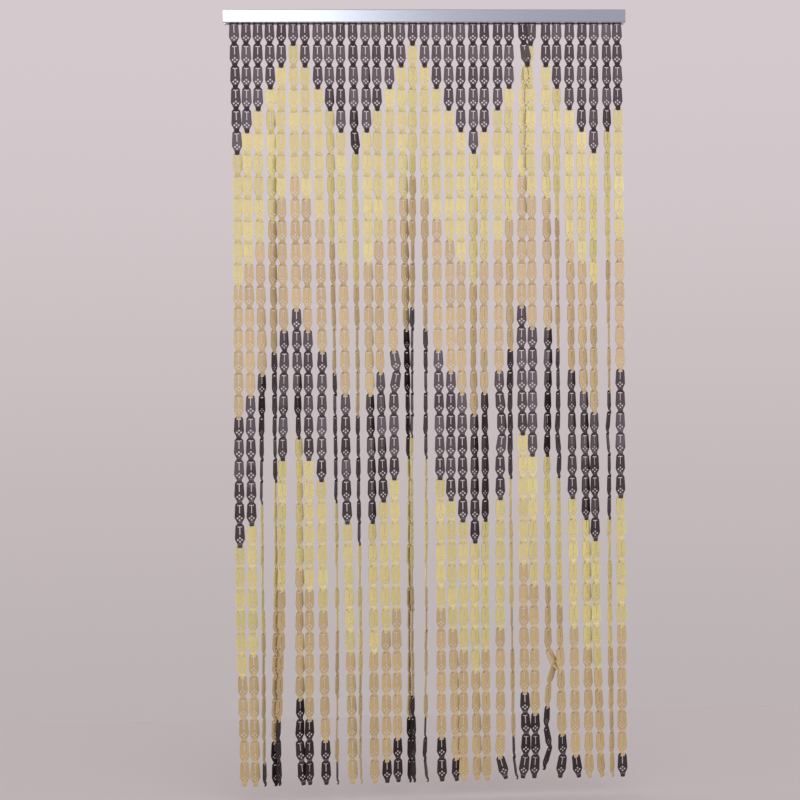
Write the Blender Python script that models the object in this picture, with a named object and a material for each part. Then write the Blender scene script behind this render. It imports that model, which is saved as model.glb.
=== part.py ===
"""String curtain: chains of flat plastic links hanging from an aluminium channel rail.

Metres, +Z up. The origin is the middle of the rail's back face, which lies against the wall,
so the curtain's front looks along -Y and its chains hang down the -Z side.
"""

import math

import bpy
from mathutils import Matrix, Vector

MM = 0.001

# Rail: an open channel with its slot underneath
RAIL_LENGTH = 0.920
RAIL_HEIGHT = 0.030
RAIL_DEPTH = 0.024
RAIL_WALL = 0.0015
RAIL_SLOT = 0.010
RAIL_CORNER = 0.002
CORNER_STEPS = 3

# Chains: their even spacing along the rail and the links in each
STRAND_COUNT = 33
STRAND_PITCH = 0.0275
LINK_COUNT = 35
LINK_PITCH = 0.050
FIRST_LINK_BELOW_RAIL_TOP = 0.0258
STRAND_PLANE_Y = -RAIL_DEPTH / 2

# Sliding head of a chain, which rests on the rail's two lips
HEAD_HEIGHT = 0.005
HEAD_HALF_WIDTH = 0.005
HEAD_HALF_DEPTH = 0.0075
HEAD_GAP = 0.0003
STEM_HALF_WIDTH = 0.004

# Outline of one link: name, distance below its top edge, half-width, how far its front stands forward
LINK_OUTLINE = (
    ("top", 0.0030, 0.0092, 0.0010),
    ("shoulder", 0.0345, 0.0115, 0.0010),
    ("neck", 0.0475, 0.0055, 0.0028),
)
FIRST_LINK_SHOWS_BELOW = 0.0040
RIDGE_BACK = 0.0028
TIP_BELOW_TOP = 0.0552
TIP_HALF_WIDTH = 0.0048

# Zigzag of three colours: its width in chains, and the links in one band
ZIGZAG_PERIOD = 10
ZIGZAG_PEAK = 5
BAND_LINKS = 6
BAND_SHIFT = 4

# Share of the pitch that a link of each colour hangs by: the dark plastic shrinks most in the mould
BAND_REACH = (0.988, 1.004, 1.004)

# How each chain hangs. slot: mm off the even spacing. x07 to x33: mm of drift at the foot of that link.
# t01 to t33: degrees that the chain is turned there, where 90 shows its edge.
JOINTS = (0, 7, 15, 21, 28, 33)
STRAND_COLUMNS = ("slot", "x07", "x15", "x21", "x28", "x33", "t01", "t07", "t15", "t21", "t28", "t33")
STRANDS = (
    (3, 4, -1, -4, -5, -2, 0, 5, 0, 5, 0, 5),
    (3, -2, -2, -4, -5, -5, 0, 15, 5, 5, 5, 10),
    (2, -3, -1, -7, -8, -10, 0, 10, 25, 80, 83, 83),
    (1, 1, 0, -2, -5, -12, 0, 20, 58, 86, 52, 48),
    (1, -6, -4, -14, -21, -31, 0, 5, 25, 25, 44, 60),
    (0, -1, -2, 0, -5, -7, 0, 0, 12, 48, 32, 28),
    (-1, -2, -3, -5, -9, -13, 0, 15, 25, 10, 12, 28),
    (0, -1, 1, -5, -5, -4, 0, 0, 5, 10, 20, 15),
    (-2, 1, 3, 3, 1, -3, 0, 40, 80, 83, 83, 83),
    (-2, -3, 0, -1, 3, 5, 20, 20, 15, 15, 10, 10),
    (-2, 1, 1, 0, 0, -4, 0, 48, 72, 78, 82, 78),
    (-1, 1, 0, 2, 2, 0, 0, 10, 20, 40, 20, 20),
    (-3, 0, -1, 2, 5, 3, 22, 20, 35, 25, 15, 10),
    (-2, 1, 2, 0, 1, 0, 0, 0, 15, 5, 10, 15),
    (-3, 3, 6, 7, 3, 1, 0, 15, 50, 80, 80, 60),
    (-2, -4, -10, -15, -18, -19, 0, 50, 80, 84, 80, 60),
    (-2, -4, -7, -9, -13, -18, 0, 35, 72, 83, 83, 83),
    (-2, -5, -5, -4, -6, -8, 0, 0, 5, 0, 5, 10),
    (-2, -3, -3, -7, -6, -2, 5, 0, 5, 5, 10, 22),
    (-2, -3, -6, -7, -8, -12, 5, 5, 20, 0, 10, 15),
    (-1, -2, -7, -7, -11, -9, 0, 22, 55, 25, 20, 30),
    (-2, -4, -9, -9, -13, -13, 0, 15, 38, 54, 35, 32),
    (1, -3, -5, -5, -9, -10, 0, 5, 5, 5, 20, 15),
    (0, -4, -5, -8, -8, -7, 0, 35, 53, 74, 83, 83),
    (3, 17, 16, 13, 14, 14, 0, 5, 5, 10, 15, 15),
    (-2, -26, -32, -31, -33, -32, 0, 5, 0, 5, 5, 5),
    (2, -2, -1, -7, -8, -12, 0, 28, 35, 54, 52, 52),
    (0, -3, -4, -6, -6, -3, 0, 55, 74, 64, 48, 25),
    (2, -4, -2, -3, -2, -1, 0, 18, 48, 20, 20, 10),
    (4, -5, -5, -1, 0, 1, 0, 18, 42, 30, 30, 30),
    (4, -4, -7, -7, -7, 0, 0, 35, 45, 30, 28, 38),
    (5, 0, 0, -2, -3, -1, 15, 52, 82, 83, 68, 62),
    (2, 2, 2, 0, 0, -1, 5, 10, 5, 10, 5, 10),
)

# Single joints that hang out of line: chain, link, mm that its foot is pushed sideways, degrees that it is
# turned further, and the share of the pitch that it hangs by, which is less where the next link is caught.
STRAY_COLUMNS = ("strand", "link", "side", "turn", "reach")
STRAYS = (
    (5, 18, 0, 16, 1.0),
    (5, 19, 0, 28, 1.0),
    (5, 33, -2, 0, 1.0),
    (5, 34, 2, 0, 1.0),
    (5, 35, 5, 0, 1.0),
    (10, 6, 3, 0, 1.0),
    (11, 3, 0, 26, 1.0),
    (13, 16, 8, 0, 1.0),
    (16, 34, -2, 0, 1.0),
    (16, 35, 4, 0, 1.0),
    (22, 18, 4, 0, 1.0),
    (22, 19, 6, 0, 1.0),
    (22, 34, -3, 0, 1.0),
    (22, 35, 9, 0, 1.0),
    (23, 35, 7, 0, 1.0),
    (24, 2, 5, 12, 1.0),
    (24, 3, 8, 0, 1.0),
    (24, 4, 7, 0, 1.0),
    (24, 5, 4, 0, 1.0),
    (24, 35, -4, 0, 1.0),
    (25, 2, -4, 0, 1.0),
    (25, 3, -8, 0, 1.0),
    (25, 4, -7, 0, 1.0),
    (25, 5, -4, 0, 1.0),
    (25, 33, 2, 0, 1.0),
    (25, 35, -7, 0, 1.0),
    (26, 30, 16, 0, 0.76),
    (26, 31, 3, 0, 1.0),
    (26, 33, -3, 0, 1.0),
    (26, 34, 6, 0, 1.0),
    (26, 35, -8, 0, 1.0),
    (27, 19, -2, 0, 1.0),
    (27, 20, 3, 0, 1.0),
    (27, 34, 2, 0, 1.0),
    (27, 35, -6, 0, 1.0),
    (28, 35, 6, 0, 1.0),
    (30, 35, 3, 0, 1.0),
    (31, 19, -4, 0, 1.0),
)

# Where two chains hang one before the other: the front one, the one behind, and the links between which
# they are parted by this many mm in depth.
CROSSING_COLUMNS = ("front", "behind", "first", "last", "part")
CROSSINGS = (
    (24, 25, 1, 8, 8.0),
    (4, 3, 5, 12, 4.5),
)

DARK = ("link_dark", (0.060, 0.038, 0.045), 0.28)
YELLOW = ("link_yellow", (0.760, 0.610, 0.270), 0.30)
TAN = ("link_tan", (0.560, 0.370, 0.180), 0.30)
BAND_COLOURS = (DARK, YELLOW, TAN)
ALUMINIUM = ("rail_aluminium", (0.640, 0.650, 0.690), 0.32)


def clear_scene():
    for item in list(bpy.data.objects):
        bpy.data.objects.remove(item, do_unlink=True)


def new_material(name, colour, roughness, metallic=0.0):
    material = bpy.data.materials.new(name)
    material.use_nodes = True
    shader = material.node_tree.nodes["Principled BSDF"]
    shader.inputs["Base Color"].default_value = (*colour, 1.0)
    shader.inputs["Roughness"].default_value = roughness
    shader.inputs["Metallic"].default_value = metallic
    material.diffuse_color = (*colour, 1.0)
    return material


def rows_of(table, columns):
    return [dict(zip(columns, row)) for row in table]


def between(joint, values):
    """Value at a joint, on straight lines between the table's stations."""
    for low, high, start, end in zip(JOINTS, JOINTS[1:], values, values[1:]):
        if joint <= high:
            share = max(0.0, (joint - low) / (high - low))
            return start + (end - start) * share
    return values[-1]


def ease(share):
    share = min(1.0, max(0.0, share))
    return share * share * (3.0 - 2.0 * share)


def rail_outline():
    """Section of the rail as (depth from the wall, height) points, front corners rounded."""
    half = RAIL_HEIGHT / 2
    inner = half - RAIL_WALL
    lip = (RAIL_DEPTH - RAIL_SLOT) / 2
    points = [(0.0, half)]
    for centre_z, start in ((half - RAIL_CORNER, 90.0), (RAIL_CORNER - half, 180.0)):
        for step in range(CORNER_STEPS + 1):
            angle = math.radians(start + 90.0 * step / CORNER_STEPS)
            depth = -RAIL_DEPTH + RAIL_CORNER + RAIL_CORNER * math.cos(angle)
            points.append((depth, centre_z + RAIL_CORNER * math.sin(angle)))
    points += [
        (lip - RAIL_DEPTH, -half),
        (lip - RAIL_DEPTH, -inner),
        (RAIL_WALL - RAIL_DEPTH, -inner),
        (RAIL_WALL - RAIL_DEPTH, inner),
        (-RAIL_WALL, inner),
        (-RAIL_WALL, -inner),
        (-lip, -inner),
        (-lip, -half),
        (0.0, -half),
    ]
    return points


def build_rail(collection):
    curve = bpy.data.curves.new("rail", "CURVE")
    curve.dimensions = "2D"
    curve.fill_mode = "BOTH"
    curve.extrude = RAIL_LENGTH / 2
    outline = rail_outline()
    spline = curve.splines.new("POLY")
    spline.points.add(len(outline) - 1)
    for point, (depth, height) in zip(spline.points, outline):
        point.co = (depth, height, 0.0, 1.0)
    spline.use_cyclic_u = True
    curve.materials.append(new_material(*ALUMINIUM, metallic=1.0))
    rail = bpy.data.objects.new("rail", curve)
    rail.rotation_euler = (math.radians(90.0), 0.0, math.radians(90.0))
    collection.objects.link(rail)
    return rail


def band_of(strand, link):
    """Which of the three colours a link has: a zigzag that climbs to a peak every ten chains."""
    to_peak = abs((strand - ZIGZAG_PEAK + ZIGZAG_PERIOD // 2) % ZIGZAG_PERIOD - ZIGZAG_PERIOD // 2)
    return (link - to_peak + BAND_SHIFT) // BAND_LINKS % len(BAND_COLOURS)


def depth_at(strand, joint):
    """How far a chain stands behind its plane where it hangs before or behind another."""
    depth = 0.0
    for row in rows_of(CROSSINGS, CROSSING_COLUMNS):
        if strand not in (row["front"], row["behind"]):
            continue
        share = ease(joint - row["first"] + 1.0) * ease(row["last"] + 1.0 - joint)
        side = -0.6 if strand == row["front"] else 0.4
        depth += side * row["part"] * MM * share
    return depth


def chain_joints(strand):
    """Where the chain's links meet, and the turn of each link, from the tables."""
    row = rows_of(STRANDS, STRAND_COLUMNS)[strand]
    strays = {item["link"]: item for item in rows_of(STRAYS, STRAY_COLUMNS) if item["strand"] == strand}
    drift = [0] + [row[name] for name in STRAND_COLUMNS[1:6]]
    turns = [row[name] for name in STRAND_COLUMNS[6:]]
    start_x = (strand - STRAND_COUNT // 2) * STRAND_PITCH + row["slot"] * MM
    start_z = RAIL_HEIGHT / 2 - FIRST_LINK_BELOW_RAIL_TOP
    joints = [Vector((start_x, STRAND_PLANE_Y, start_z))]
    angles = []
    for link in range(1, LINK_COUNT + 1):
        stray = strays.get(link, {"side": 0, "turn": 0, "reach": 1.0})
        x = start_x + (between(link, drift) + stray["side"]) * MM
        y = STRAND_PLANE_Y + depth_at(strand, link)
        aside = Vector((x, y)) - joints[-1].xy
        length = LINK_PITCH * BAND_REACH[band_of(strand, link)] * stray["reach"]
        drop = math.sqrt(length ** 2 - aside.length_squared)
        joints.append(Vector((x, y, joints[-1].z - drop)))
        angles.append(math.radians(between(link - 0.5, turns) + stray["turn"]))
    return joints, angles


def link_frame(head, foot, angle):
    """Axes of a hanging link: its origin at the top, X across, Y to its back, Z along it downwards."""
    down = (foot - head).normalized()
    across = Vector((math.cos(angle), math.sin(angle), 0.0))
    across = (across - down * across.dot(down)).normalized()
    back = across.cross(down)
    frame = Matrix((across, back, down)).transposed().to_4x4()
    return Matrix.Translation(head) @ frame


def strand_mesh(strand, materials):
    """One closed three-sided loft: flat front, ridge behind, with every link's top, shoulder and neck."""
    joints, angles = chain_joints(strand)
    points = []
    faces = []
    colours = []

    def add(frame, x, y, z):
        points.append(frame @ Vector((x, y, z)))
        return len(points) - 1

    def face(colour, *corners):
        faces.append(corners)
        colours.append(colour)

    def ring(frame, half_width, front, back, z):
        left = add(frame, -half_width, -front, z)
        right = add(frame, half_width, -front, z)
        return left, right, add(frame, 0.0, back, z)

    def join(colour, upper, lower):
        for side in range(3):
            following = (side + 1) % 3
            face(colour, upper[side], lower[side], lower[following])
            face(colour, upper[side], lower[following], upper[following])

    top_frame = link_frame(joints[0], joints[0] - Vector((0.0, 0.0, LINK_PITCH)), 0.0)
    shelf = joints[0].z - (RAIL_WALL - RAIL_HEIGHT / 2 + HEAD_GAP)
    head_top = ring(top_frame, HEAD_HALF_WIDTH, HEAD_HALF_DEPTH, HEAD_HALF_DEPTH, shelf - HEAD_HEIGHT)
    head_foot = ring(top_frame, HEAD_HALF_WIDTH, HEAD_HALF_DEPTH, HEAD_HALF_DEPTH, shelf)
    stem = ring(top_frame, STEM_HALF_WIDTH, LINK_OUTLINE[0][3], RIDGE_BACK, shelf)
    first = band_of(strand, 1)
    face(first, *head_top)
    join(first, head_top, head_foot)
    join(first, head_foot, stem)

    left, right, ridge = stem
    for link in range(1, LINK_COUNT + 1):
        colour = band_of(strand, link)
        head, foot = joints[link - 1], joints[link]
        frame = link_frame(head, foot, angles[link - 1])
        scale = (foot - head).length / LINK_PITCH
        lefts = [left]
        rights = [right]
        for part, below, half_width, front in LINK_OUTLINE:
            if link == 1 and part == "top":
                below = FIRST_LINK_SHOWS_BELOW
            lefts.append(add(frame, -half_width, -front, below * scale))
            rights.append(add(frame, half_width, -front, below * scale))
        next_ridge = add(frame, 0.0, RIDGE_BACK, LINK_OUTLINE[-1][1] * scale)
        for step in range(3):
            face(colour, lefts[step], lefts[step + 1], rights[step + 1])
            face(colour, lefts[step], rights[step + 1], rights[step])
        face(colour, ridge, lefts[1], lefts[0])
        face(colour, ridge, lefts[2], lefts[1])
        face(colour, ridge, next_ridge, lefts[2])
        face(colour, next_ridge, lefts[3], lefts[2])
        face(colour, ridge, rights[0], rights[1])
        face(colour, ridge, rights[1], rights[2])
        face(colour, ridge, rights[2], next_ridge)
        face(colour, next_ridge, rights[2], rights[3])
        left, right, ridge = lefts[3], rights[3], next_ridge

    tip = ring(frame, TIP_HALF_WIDTH, LINK_OUTLINE[-1][3], RIDGE_BACK, TIP_BELOW_TOP)
    join(colour, (left, right, ridge), tip)
    face(colour, tip[0], tip[2], tip[1])

    mesh = bpy.data.meshes.new(f"strand_{strand:02d}")
    mesh.from_pydata(points, [], faces)
    for material in materials:
        mesh.materials.append(material)
    mesh.polygons.foreach_set("material_index", colours)
    mesh.update()
    return mesh


def build_strands(collection):
    materials = [new_material(*colour) for colour in BAND_COLOURS]
    for strand in range(STRAND_COUNT):
        item = bpy.data.objects.new(f"strand_{strand:02d}", strand_mesh(strand, materials))
        collection.objects.link(item)


def main():
    clear_scene()
    collection = bpy.data.collections.new("string_curtain")
    bpy.context.scene.collection.children.link(collection)
    build_rail(collection)
    build_strands(collection)


main()
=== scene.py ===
# String curtain: chains of flat plastic links in a three-colour zigzag, hanging from an aluminium rail.
# Metres, +Z up. The rail's back lies against the wall at y 0, and the curtain's front looks along -Y.
import math
import random

import bmesh
import bpy
from mathutils import Matrix, Vector


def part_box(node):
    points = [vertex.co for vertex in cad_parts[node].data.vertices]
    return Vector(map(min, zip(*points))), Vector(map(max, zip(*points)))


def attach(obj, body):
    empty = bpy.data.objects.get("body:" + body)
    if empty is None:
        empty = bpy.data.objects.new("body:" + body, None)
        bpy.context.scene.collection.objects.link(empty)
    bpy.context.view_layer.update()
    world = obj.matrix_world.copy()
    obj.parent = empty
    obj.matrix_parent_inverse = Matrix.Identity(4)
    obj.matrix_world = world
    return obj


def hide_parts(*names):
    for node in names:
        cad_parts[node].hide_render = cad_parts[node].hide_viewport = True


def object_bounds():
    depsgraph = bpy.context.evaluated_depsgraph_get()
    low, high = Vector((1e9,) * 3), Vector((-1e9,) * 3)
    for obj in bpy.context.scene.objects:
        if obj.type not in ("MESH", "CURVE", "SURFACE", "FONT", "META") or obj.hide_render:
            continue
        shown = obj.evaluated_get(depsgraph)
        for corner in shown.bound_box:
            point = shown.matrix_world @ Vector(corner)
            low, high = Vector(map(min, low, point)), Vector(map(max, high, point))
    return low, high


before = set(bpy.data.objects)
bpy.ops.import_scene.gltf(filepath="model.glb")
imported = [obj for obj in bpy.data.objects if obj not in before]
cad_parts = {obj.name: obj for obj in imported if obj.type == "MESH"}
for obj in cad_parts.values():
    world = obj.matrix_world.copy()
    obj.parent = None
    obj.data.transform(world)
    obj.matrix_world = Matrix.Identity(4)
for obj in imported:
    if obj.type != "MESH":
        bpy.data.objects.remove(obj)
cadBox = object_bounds()
mm = 0.001
print("frame loaded:", len(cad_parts), "nodes")


def opaque(colour):
    return (*colour, 1.0)


# Shader maths: a socket that Python's arithmetic works on, and one method for every other node
class Wire:
    def __init__(self, tree, socket=None):
        self.tree = tree
        self.socket = socket

    def node(self, kind, settings=None, sockets=None, output=0):
        made = self.tree.nodes.new(kind)
        for name, value in (settings or {}).items():
            setattr(made, name, value)
        for key, value in (sockets or {}).items():
            if isinstance(value, Wire):
                self.tree.links.new(value.socket, made.inputs[key])
            else:
                made.inputs[key].default_value = value
        return Wire(self.tree, made.outputs[output])

    def maths(self, operation, first, second=0.0):
        return self.node("ShaderNodeMath", {"operation": operation}, {0: first, 1: second})

    def __add__(self, other):
        return self.maths("ADD", self, other)

    def __radd__(self, other):
        return self.maths("ADD", other, self)

    def __sub__(self, other):
        return self.maths("SUBTRACT", self, other)

    def __rsub__(self, other):
        return self.maths("SUBTRACT", other, self)

    def __mul__(self, other):
        return self.maths("MULTIPLY", self, other)

    def __rmul__(self, other):
        return self.maths("MULTIPLY", other, self)

    def absolute(self):
        return self.maths("ABSOLUTE", self)

    def ramp(self, low, high):  # 0 below low, 1 above high, soft between
        settings = {"interpolation_type": "SMOOTHSTEP"}
        return self.node("ShaderNodeMapRange", settings, {0: self, 1: low, 2: high})

    def part(self, axis):  # one axis of this place or direction
        return self.node("ShaderNodeSeparateXYZ", {}, {0: self}, axis)

    def colour(self, values):  # a flat colour to mix from
        made = self.node("ShaderNodeRGB")
        made.socket.default_value = opaque(values)
        return made

    def grey(self):  # this number as a colour
        return self.node("ShaderNodeCombineColor", {}, {0: self, 1: self, 2: self})

    def blend(self, kind, colour, mask):  # sockets 6 and 7 take the two colours, and output 2 gives their mix
        settings = {"data_type": "RGBA", "blend_type": kind}
        return self.node("ShaderNodeMix", settings, {0: mask, 6: self, 7: colour}, 2)

    def mix(self, colour, mask):  # this colour, turning to another where the mask is 1
        return self.blend("MIX", colour, mask)

    def tint(self, colour, mask=1.0):  # this colour, multiplied by another
        return self.blend("MULTIPLY", colour, mask)


def newFinish(name, constants):
    material = bpy.data.materials.new(name)
    material.use_nodes = True
    shader = material.node_tree.nodes["Principled BSDF"]
    for socket, value in constants.items():
        shader.inputs[socket].default_value = value
    return material, shader, Wire(material.node_tree)


def feed(wire, shader, socket):
    wire.tree.links.new(wire.socket, shader.inputs[socket])


def noise(place, scale, detail):
    return place.node("ShaderNodeTexNoise", {}, {"Vector": place, "Scale": scale, "Detail": detail})


def relief(height, strength, depth):  # depth in millimetres
    return height.node("ShaderNodeBump", {}, {"Strength": strength, "Distance": depth * mm, "Height": height})


def meshFrom(bm, name):
    mesh = bpy.data.meshes.new(name)
    bm.to_mesh(mesh)
    bm.free()
    return mesh


def addToScene(name, data):
    made = bpy.data.objects.new(name, data)
    bpy.context.scene.collection.objects.link(made)
    return made


# Plastic of the links: base colour of the panel and of the thin rim, its darker tint where two links overlap,
# which is painted shade, the share of light that gets through it, its roughness, and the most sheen that a
# link has
plastics = {
    "dark": {"body": (0.019, 0.0088, 0.0088), "rim": (0.018, 0.009, 0.009), "joint": (0.80, 0.75, 0.75),
             "through": 0.0, "roughness": 0.30, "sheen": 0.75},
    "yellow": {"body": (0.730, 0.635, 0.246), "rim": (0.760, 0.700, 0.355), "joint": (1.0, 0.99, 0.98),
               "through": 0.22, "roughness": 0.34, "sheen": 0.3},
    "tan": {"body": (0.575, 0.430, 0.205), "rim": (0.610, 0.485, 0.285), "joint": (0.98, 0.96, 0.97),
            "through": 0.16, "roughness": 0.34, "sheen": 0.3},
}

# Marks that moulding and wear leave on every link, and how far the painted shade where two links overlap
# reaches.
# The grain's depth is in millimetres, and rim and joint are shares of a link's half-width and length.
mouldMarksAndJointShade = {
    "ior": 1.40, "toneSpread": 0.16, "glossSpread": 0.14,
    "flowScale": 260.0, "flowDetail": 2.0, "flowShade": 0.10, "flowGloss": 0.12,
    "grainScale": 2600.0, "grainDetail": 1.0, "grainDepth": 0.012, "grainStrength": 0.25,
    "rimFrom": 0.68, "jointReach": 0.12, "jointEdge": 0.03, "jointWear": 0.3,
    "coatWorn": 0.5, "coatAslant": (0.4, 0.75),
}


def linkValue(start, name):  # what each point of a link carries: its place on the link, or the link's tone
    return start.node("ShaderNodeAttribute", {"attribute_name": name}, output="Fac")


def plasticFinish(name):
    sizes, marks = plastics[name], mouldMarksAndJointShade
    constants = {
        "Roughness": sizes["roughness"], "Transmission Weight": sizes["through"], "IOR": marks["ior"]}
    material, shader, start = newFinish("plastic_" + name, constants)
    place = start.node("ShaderNodeTexCoord", output="Object")
    along = linkValue(start, "linkAlong")
    tone = linkValue(start, "linkTone")
    flow = noise(place, marks["flowScale"], marks["flowDetail"])
    grain = noise(place, marks["grainScale"], marks["grainDetail"])
    rim = linkValue(start, "linkAcross").absolute().ramp(marks["rimFrom"], 1.0)
    reach, edge = marks["jointReach"], marks["jointEdge"]
    joint = 1.0 - along.ramp(reach - edge, reach) * (1.0 - along.ramp(1.0 - reach - edge, 1.0 - reach))
    # the darker tint where two links overlap is painted shade of the overlap
    colour = start.colour(sizes["body"]).mix(opaque(sizes["rim"]), rim).tint(opaque(sizes["joint"]), joint)
    shade = 1.0 - marks["toneSpread"] * tone - marks["flowShade"] * flow
    feed(colour.tint(shade.grey()), shader, "Base Color")
    dulled = marks["jointWear"] * joint + marks["glossSpread"] * tone
    smooth = sizes["roughness"] - marks["flowGloss"] / 2
    feed(smooth + marks["flowGloss"] * flow + dulled, shader, "Roughness")
    aslant = start.node("ShaderNodeLayerWeight", output="Facing").ramp(*marks["coatAslant"])
    worn = marks["coatWorn"]
    coat = sizes["sheen"] * tone * (1.0 - worn * joint) * (1.0 - worn * rim) * (1.0 - aslant)
    feed(coat, shader, "Coat Weight")
    feed(relief(grain, marks["grainStrength"], marks["grainDepth"]), shader, "Normal")
    return material


# Rail: satin aluminium drawn lengthwise, rougher underneath, where it also has a paler, pinker colour of its
# own:
# painted shade that sets how bright the shaded band under the rail looks. That part fades in between two
# heights above the rail's foot, in millimetres as the lines' depth is.
railFinish = {
    "metal": (0.485, 0.550, 0.635), "paintedUnderShade": (0.850, 0.780, 0.820), "roughness": 0.30,
    "dullShadedBelow": 0.1, "satinAbove": 0.6, "rawWear": 0.1,
    "drawScale": 900.0, "drawDetail": 3.0, "drawStretch": 0.012, "drawDepth": 0.006, "drawStrength": 0.3,
    "drawShade": 0.06, "drawGloss": 0.06,
}


def aluminiumFinish():
    sizes = railFinish
    constants = {"Roughness": sizes["roughness"], "Metallic": 1.0}
    material, shader, start = newFinish("rail_satin_aluminium", constants)
    place = start.node("ShaderNodeTexCoord", output="Object")
    drawn = start.node("ShaderNodeMapping", {}, {"Vector": place, "Scale": (sizes["drawStretch"], 1.0, 1.0)})
    lines = noise(drawn, sizes["drawScale"], sizes["drawDetail"])
    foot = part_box("rail")[0].z
    under = 1.0 - place.part("Z").ramp(foot + sizes["dullShadedBelow"] * mm, foot + sizes["satinAbove"] * mm)
    shade = 1.0 - sizes["drawShade"] / 2 + sizes["drawShade"] * lines
    # the underside's own colour is painted shade: it sets how bright the shaded band under the rail looks
    colour = start.colour(sizes["metal"]).tint(shade.grey()).mix(opaque(sizes["paintedUnderShade"]), under)
    feed(colour, shader, "Base Color")
    smooth = sizes["roughness"] - sizes["drawGloss"] / 2
    feed(smooth + sizes["drawGloss"] * lines + sizes["rawWear"] * under, shader, "Roughness")
    feed(relief(lines, sizes["drawStrength"], sizes["drawDepth"]), shader, "Normal")
    return material


# One link, in millimetres: half-width and distance below its top edge, then its relief and its openings.
# Faces less than flatWithin degrees apart are made one, edges of more than sharpFrom degrees stay crisp, and
# points within cutWithin of a cut count as on it.
link = {
    "outline": (
        (6.2, 0.0), (9.95, 4.8), (11.6, 33.6), (11.1, 36.2),
        (6.7, 44.9), (5.5, 49.2), (4.8, 53.8), (3.7, 55.3)),
    "frontEdge": -0.4, "beadTop": -1.3, "panelFront": -0.7, "back": 1.1, "beadWidth": 1.2,
    "crossSlot": ((4.3, 4.5), (5.5, 5.3), (5.5, 6.9)),
    "stemSlot": {"halfWidth": 1.05, "top": 7.8, "foot": 24.9},
    "diamond": {"count": 4, "below": 36.5, "aside": 4.75, "upDown": 4.15, "halfDiagonal": 2.65},
    "tab": {"bendStart": 45.0, "bendEnd": 49.2, "setForward": 2.2, "middle": -0.1, "thinning": 0.35},
    "lip": {"halfWidth": 2.4, "top": 54.55, "foot": 55.3, "front": -2.7, "back": 1.9},
    "cutWithin": 0.01, "flatWithin": 1.0, "sharpFrom": 28.0,
}


def loop(bm, points, depth):  # closed ring of edges through points given as half-width and distance down
    corners = [bm.verts.new((x * mm, depth * mm, -below * mm)) for x, below in points]
    return [bm.edges.new((corner, corners[index - 1])) for index, corner in enumerate(corners)]


def bothSides(half):  # a right-hand outline from top to foot, closed by its mirror image
    return half + tuple((-x, below) for x, below in reversed(half))


def openings():  # the T-shaped slot, then the diamonds in a ring
    stem, diamond = link["stemSlot"], link["diamond"]
    half = link["crossSlot"] + tuple((stem["halfWidth"], stem[end]) for end in ("top", "foot"))
    rings = [bothSides(half)]
    reach = diamond["halfDiagonal"]
    for turn in range(diamond["count"]):
        angle = math.tau / diamond["count"] * turn
        x = diamond["aside"] * math.cos(angle)
        below = diamond["below"] + diamond["upDown"] * math.sin(angle)
        rings.append(((x + reach, below), (x, below + reach), (x - reach, below), (x, below - reach)))
    return rings


def frontWithBead(bm):  # the outline, a bead inside it, and the edge of the panel that lies lower
    rim = loop(bm, bothSides(link["outline"]), link["frontEdge"])
    front = bmesh.ops.contextual_create(bm, geom=rim)["faces"]
    for height in (link["beadTop"] - link["frontEdge"], link["panelFront"] - link["beadTop"]):
        outward = 1.0 if front[0].normal.y > 0 else -1.0
        depth = outward * height * mm
        bmesh.ops.inset_region(
            bm, faces=front, thickness=link["beadWidth"] * mm, depth=depth, use_even_offset=True)
    panel = list(front[0].edges)
    bmesh.ops.delete(bm, geom=front, context="FACES_ONLY")
    return rim, panel


def panelAndBack(bm, rim, panel):  # the panel round its openings, then the walls, and a flat back
    holes = []
    for ring in openings():
        holes += loop(bm, ring, link["panelFront"])
    bmesh.ops.triangle_fill(bm, edges=panel + holes, use_beauty=True)
    walls = bmesh.ops.extrude_edge_only(bm, edges=rim + holes)["geom"]
    backEdges = [edge for edge in walls if isinstance(edge, bmesh.types.BMEdge) and edge.is_boundary]
    for vert in {vert for edge in backEdges for vert in edge.verts}:
        vert.co.y = link["back"] * mm
    bmesh.ops.triangle_fill(bm, edges=backEdges, use_beauty=True)
    bmesh.ops.dissolve_limit(bm, angle_limit=math.radians(link["flatWithin"]), verts=bm.verts, edges=bm.edges)


def bendTab(bm):  # the tab bends forward to pass in front of the next link's top bar
    tab = link["tab"]
    for below in (tab["bendStart"], tab["bendEnd"]):
        everything = list(bm.verts) + list(bm.edges) + list(bm.faces)
        bmesh.ops.bisect_plane(
            bm, geom=everything, dist=link["cutWithin"] * mm, plane_co=(0.0, 0.0, -below * mm),
            plane_no=(0.0, 0.0, 1.0))
    for vert in bm.verts:
        share = (-vert.co.z / mm - tab["bendStart"]) / (tab["bendEnd"] - tab["bendStart"])
        share = min(1.0, max(0.0, share))
        fromMiddle = vert.co.y / mm - tab["middle"]
        vert.co.y -= share * (tab["setForward"] + tab["thinning"] * fromMiddle) * mm


def addLip(bm):  # the tab's end, which reaches back under the next link's top bar
    lip = link["lip"]
    size = Vector((2.0 * lip["halfWidth"], lip["back"] - lip["front"], lip["foot"] - lip["top"])) * mm
    middle = Vector((0.0, (lip["back"] + lip["front"]) / 2, -(lip["foot"] + lip["top"]) / 2)) * mm
    bmesh.ops.create_cube(bm, size=1.0, matrix=Matrix.LocRotScale(middle, None, size))


def linkMesh():
    bm = bmesh.new()
    rim, panel = frontWithBead(bm)
    panelAndBack(bm, rim, panel)
    bendTab(bm)
    bmesh.ops.recalc_face_normals(bm, faces=bm.faces)
    addLip(bm)
    return meshFrom(bm, "link")


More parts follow.
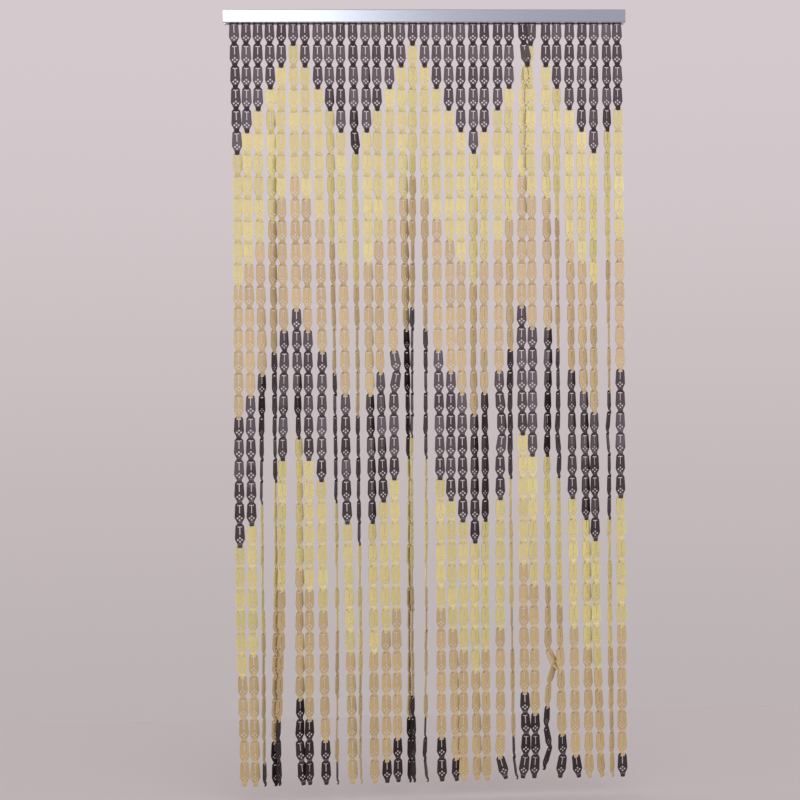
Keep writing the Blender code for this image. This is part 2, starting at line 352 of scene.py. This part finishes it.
# Runner: its shoes rest on the rail's lips and its hook carries the first link. Depth and height in
# millimetres from the first link's top edge, round its side view. Its tone is one for all runners.
runner = {
    "halfWidth": 2.6, "tone": 0.5,
    "side": (
        (-7.5, 2.3), (7.5, 2.3), (7.5, -2.3), (5.2, -2.3), (5.2, 0.4), (-1.5, 0.4), (-1.5, -4.55),
        (1.9, -4.55), (1.9, -5.3), (-2.9, -5.3), (-2.9, 0.4), (-5.2, 0.4), (-5.2, -2.3), (-7.5, -2.3)),
}


def runnerMesh():
    bm = bmesh.new()
    corners = [bm.verts.new((-runner["halfWidth"] * mm, y * mm, z * mm)) for y, z in runner["side"]]
    side = bm.faces.new(corners)
    made = bmesh.ops.extrude_face_region(bm, geom=[side])["geom"]
    moved = [item for item in made if isinstance(item, bmesh.types.BMVert)]
    bmesh.ops.translate(bm, verts=moved, vec=(2.0 * runner["halfWidth"] * mm, 0.0, 0.0))
    bmesh.ops.recalc_face_normals(bm, faces=bm.faces)
    return meshFrom(bm, "runner")


# Camera where the photograph was taken from, its angles in degrees
view = {
    "position": (-0.2091, -3.0, -0.8011), "lens": 58.42, "sensor": 36.0,
    "yaw": -2.68, "pitch": -1.44, "roll": -0.73,
}


def makeCamera():
    data = bpy.data.cameras.new("camera")
    data.lens = view["lens"]
    data.sensor_width = view["sensor"]
    camera = addToScene("camera", data)
    camera.location = view["position"]
    level = Matrix.Rotation(math.radians(90.0 + view["pitch"]), 3, "X")
    turned = Matrix.Rotation(math.radians(view["yaw"]), 3, "Z") @ level
    camera.rotation_euler = (turned @ Matrix.Rotation(math.radians(view["roll"]), 3, "Z")).to_euler()
    bpy.context.scene.camera = camera


# The frame's chains: each is one loft, with a head, then seven points a link, then a tip. Distances of a
# link's points below its top edge and in front of its plane are in millimetres, and angles in degrees.
# Each link turns and leans by chance, up to yaw and lean. Of a turn past turnedFreely only a share is kept,
# and from sightFrom on the whole angle at which the camera sees the link is taken off.
chain = {
    "links": 35, "headPoints": 9, "linkPoints": 7, "mergeWithin": 0.02,
    "shoulderBelow": 34.5, "neckBelow": 47.5, "shoulderFront": 1.0, "shortest": 0.98,
    "bandLinks": 6, "bandShift": 4, "period": 10, "peak": 5, "bands": ("dark", "yellow", "tan"),
    "yaw": 8.0, "lean": 1.2, "seed": 7, "turnedFreely": 70.0, "turnedFurther": 0.4, "sightFrom": 30.0,
}


def linkPlaces(node):  # where each link of a chain hangs, and its stretch, read from the frame
    bm = bmesh.new()
    bm.from_mesh(node.data)
    bmesh.ops.remove_doubles(bm, verts=bm.verts, dist=chain["mergeWithin"] * mm)
    points = sorted((vert.co.copy() for vert in bm.verts), key=lambda point: -point.z)
    bm.free()
    places = []
    for index in range(chain["links"]):
        first = chain["headPoints"] + chain["linkPoints"] * index
        left, right = sorted(points[first + 2:first + 4], key=lambda point: point.x)
        neck = points[first + 4:first + 7]
        ridge = min(neck, key=lambda point: sum((point - other).length for other in neck))
        neckMiddle = sum((point for point in neck if point is not ridge), Vector()) / 2
        across = (right - left).normalized()
        back = (ridge - neckMiddle).normalized()
        up = across.cross(back)
        middle = (left + right) / 2
        span = (chain["neckBelow"] - chain["shoulderBelow"]) * mm
        stretch = (middle - neckMiddle).dot(up) / span
        head = middle + up * chain["shoulderBelow"] * mm * stretch + back * chain["shoulderFront"] * mm
        turned = Matrix((across, back, up)).transposed().to_4x4()
        places.append((Matrix.Translation(head) @ turned, stretch))
    return places


def turnBack(place):  # degrees from a link's turn in the frame to the one that looks as wide as in the photo
    across = place.to_3x3().col[0]
    sight = place.translation - Vector(view["position"])
    turned = math.degrees(math.atan2(across.y, across.x))
    aside = math.degrees(math.atan2(sight.x, sight.y))
    past = abs(turned) - chain["turnedFreely"]
    kept = math.copysign(chain["turnedFreely"] + min(past, chain["turnedFurther"] * past), turned)
    return kept - turned - aside * min(1.0, abs(turned) / chain["sightFrom"])


def bandOf(strand, index):  # zigzag of three colours that climbs to a peak every ten chains
    half = chain["period"] // 2
    toPeak = abs((strand - chain["peak"] + half) % chain["period"] - half)
    return (index + 1 - toPeak + chain["bandShift"]) // chain["bandLinks"] % len(chain["bands"])


def addPart(bm, mesh, matrix, band, tone, layers):
    halfWidth = max(half for half, below in link["outline"]) * mm
    length = link["outline"][-1][1] * mm
    start = len(bm.verts)
    faceStart = len(bm.faces)
    bm.from_mesh(mesh)
    bm.verts.ensure_lookup_table()
    bm.faces.ensure_lookup_table()
    verts = bm.verts[start:]
    acrossLayer, alongLayer, toneLayer = layers
    for vert in verts:
        vert[acrossLayer] = vert.co.x / halfWidth
        vert[alongLayer] = -vert.co.z / length
        vert[toneLayer] = tone
    bmesh.ops.transform(bm, matrix=matrix, verts=verts)
    for face in bm.faces[faceStart:]:
        face.material_index = band


def makeChain(strand, oneLink, oneRunner, finishes, dice):
    name = f"strand_{strand:02d}"
    bm = bmesh.new()
    layers = [bm.verts.layers.float.new(layer) for layer in ("linkAcross", "linkAlong", "linkTone")]
    places = linkPlaces(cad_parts[name])
    upright = Matrix.Translation(places[0][0].translation)
    addPart(bm, oneRunner, upright, bandOf(strand, 0), runner["tone"], layers)
    for index, (place, stretch) in enumerate(places):
        turn = dice.uniform(-1, 1) * chain["yaw"] + turnBack(place)
        yaw = Matrix.Rotation(math.radians(turn), 4, "Z")
        lean = Matrix.Rotation(math.radians(dice.uniform(-1, 1) * chain["lean"]), 4, "X")
        length = Matrix.Diagonal((1.0, 1.0, max(stretch, chain["shortest"]), 1.0))
        addPart(bm, oneLink, place @ yaw @ lean @ length, bandOf(strand, index), dice.random(), layers)
    mesh = meshFrom(bm, f"chain_{strand:02d}")
    for finish in finishes:
        mesh.materials.append(finish)
    mesh.shade_smooth()
    mesh.set_sharp_from_angle(angle=math.radians(link["sharpFrom"]))
    piece = addToScene(f"chain_{strand:02d}", mesh)
    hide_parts(name)
    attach(piece, "root")
    return piece


# Studio: a pale floor just under the chains, and a pale surround. A direction's height, from -1 to 1, takes
# the surround from its low colour to its high one over surroundRise. Gloss sees it darker low down at the
# sides: mirroredFrom is how far aside that sets in, and mirroredBelow the heights over which it ends.
studio = {
    "floorBelow": 0.035, "floorSize": (16.0, 10.0), "floorMiddle": -4.3, "floorColour": (0.77, 0.77, 0.77),
    "floorRoughness": 0.7,
    "surroundHigh": (0.66, 0.585, 0.605), "surroundLow": (0.50, 0.446, 0.452), "surroundStrength": 1.0,
    "surroundRise": (-0.30, 0.27),
    "mirroredAside": (0.52, 0.48, 0.50), "mirroredFrom": (0.3, 0.7), "mirroredBelow": (-0.2, 0.05),
}


def makeFloor():
    bm = bmesh.new()
    bmesh.ops.create_grid(bm, x_segments=1, y_segments=1, size=0.5)
    across, deep = studio["floorSize"]
    bmesh.ops.scale(bm, vec=(across, deep, 1.0), verts=bm.verts)
    low = cadBox[0].z - studio["floorBelow"]
    bmesh.ops.translate(bm, vec=(0.0, studio["floorMiddle"], low), verts=bm.verts)
    mesh = meshFrom(bm, "floor")
    constants = {"Roughness": studio["floorRoughness"], "Base Color": opaque(studio["floorColour"])}
    mesh.materials.append(newFinish("floor_pale", constants)[0])
    floor = addToScene("floor", mesh)
    floor.visible_glossy = False


def makeSurround():
    world = bpy.data.worlds.new("surround")
    world.use_nodes = True
    bpy.context.scene.world = world
    start = Wire(world.node_tree)
    direction = start.node("ShaderNodeTexCoord", output="Generated")
    aside = direction.part("X").absolute().ramp(*studio["mirroredFrom"])
    up = direction.part("Z")
    low = 1.0 - up.ramp(*studio["mirroredBelow"])
    mirrored = start.node("ShaderNodeLightPath", output="Is Glossy Ray")
    colour = start.colour(studio["surroundLow"])
    colour = colour.mix(opaque(studio["surroundHigh"]), up.ramp(*studio["surroundRise"]))
    background = world.node_tree.nodes["Background"]
    background.inputs["Strength"].default_value = studio["surroundStrength"]
    feed(colour.tint(opaque(studio["mirroredAside"]), mirrored * aside * low), background, "Color")


# Soft lights that either gloss or light the chains, or gloss the rail. Glow is the brightness of a lamp's
# face, where 1 is white.
lamps = (
    {"name": "gloss", "at": (0.1, -3.4, 0.0), "to": (0.1, 0.0, 0.0), "size": (10.0, 2.6), "glow": 2.2,
     "colour": (1.0, 0.82, 0.97), "lights": "gloss", "on": "chains"},
    {"name": "gloss_right", "at": (4.5, -1.3, -0.6), "to": (0.0, -1.3, -0.6), "size": (3.4, 2.6), "glow": 1.3,
     "colour": (1.0, 0.9, 0.95), "lights": "gloss", "on": "chains"},
    {"name": "left", "at": (-1.4, -3.4, 0.85), "to": (-1.4, 0.0, 0.85), "size": (2.3, 1.3), "glow": 3.8,
     "colour": (1.0, 1.0, 1.0), "lights": "gloss", "on": "rail"},
    {"name": "key_left", "at": (-1.2, -3.4, 0.0), "to": (0.0, 0.0, -0.6), "size": (3.4, 2.4), "glow": 1.1,
     "colour": (1.0, 1.0, 1.0), "lights": "diffuse", "on": "chains"},
    {"name": "key_right", "at": (1.9, -3.2, 0.0), "to": (0.0, 0.0, -0.6), "size": (3.4, 2.4), "glow": 3.1,
     "colour": (1.0, 1.0, 1.0), "lights": "diffuse", "on": "chains"},
)


def makeLamps(lit):
    for lamp in lamps:
        data = bpy.data.lights.new(lamp["name"], "AREA")
        data.shape = "RECTANGLE"
        data.size, data.size_y = lamp["size"]
        data.color = lamp["colour"]
        data.energy = lamp["glow"] * math.pi * data.size * data.size_y
        light = addToScene(lamp["name"], data)
        light.location = lamp["at"]
        towards = Vector(lamp["to"]) - Vector(lamp["at"])
        light.rotation_euler = towards.to_track_quat("-Z", "Y").to_euler()
        light.visible_camera = False
        light.visible_diffuse = lamp["lights"] == "diffuse"
        light.visible_glossy = lamp["lights"] == "gloss"
        light.light_linking.receiver_collection = lit[lamp["on"]]


makeCamera()
finishes = [plasticFinish(name) for name in chain["bands"]]
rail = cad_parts["rail"]
rail.data.materials.clear()
rail.data.materials.append(aluminiumFinish())
print("finishes made")

oneLink = linkMesh()
oneRunner = runnerMesh()
print("one link:", len(oneLink.polygons), "faces")
dice = random.Random(chain["seed"])
strandCount = sum(name.startswith("strand_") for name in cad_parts)
chains = bpy.data.collections.new("chains")
metal = bpy.data.collections.new("metal")
metal.objects.link(rail)
for strand in range(strandCount):
    chains.objects.link(makeChain(strand, oneLink, oneRunner, finishes, dice))
print("chains made:", strandCount)

makeFloor()
makeSurround()
makeLamps({"chains": chains, "rail": metal})
bpy.context.scene.view_settings.view_transform = "Standard"
print("studio made")
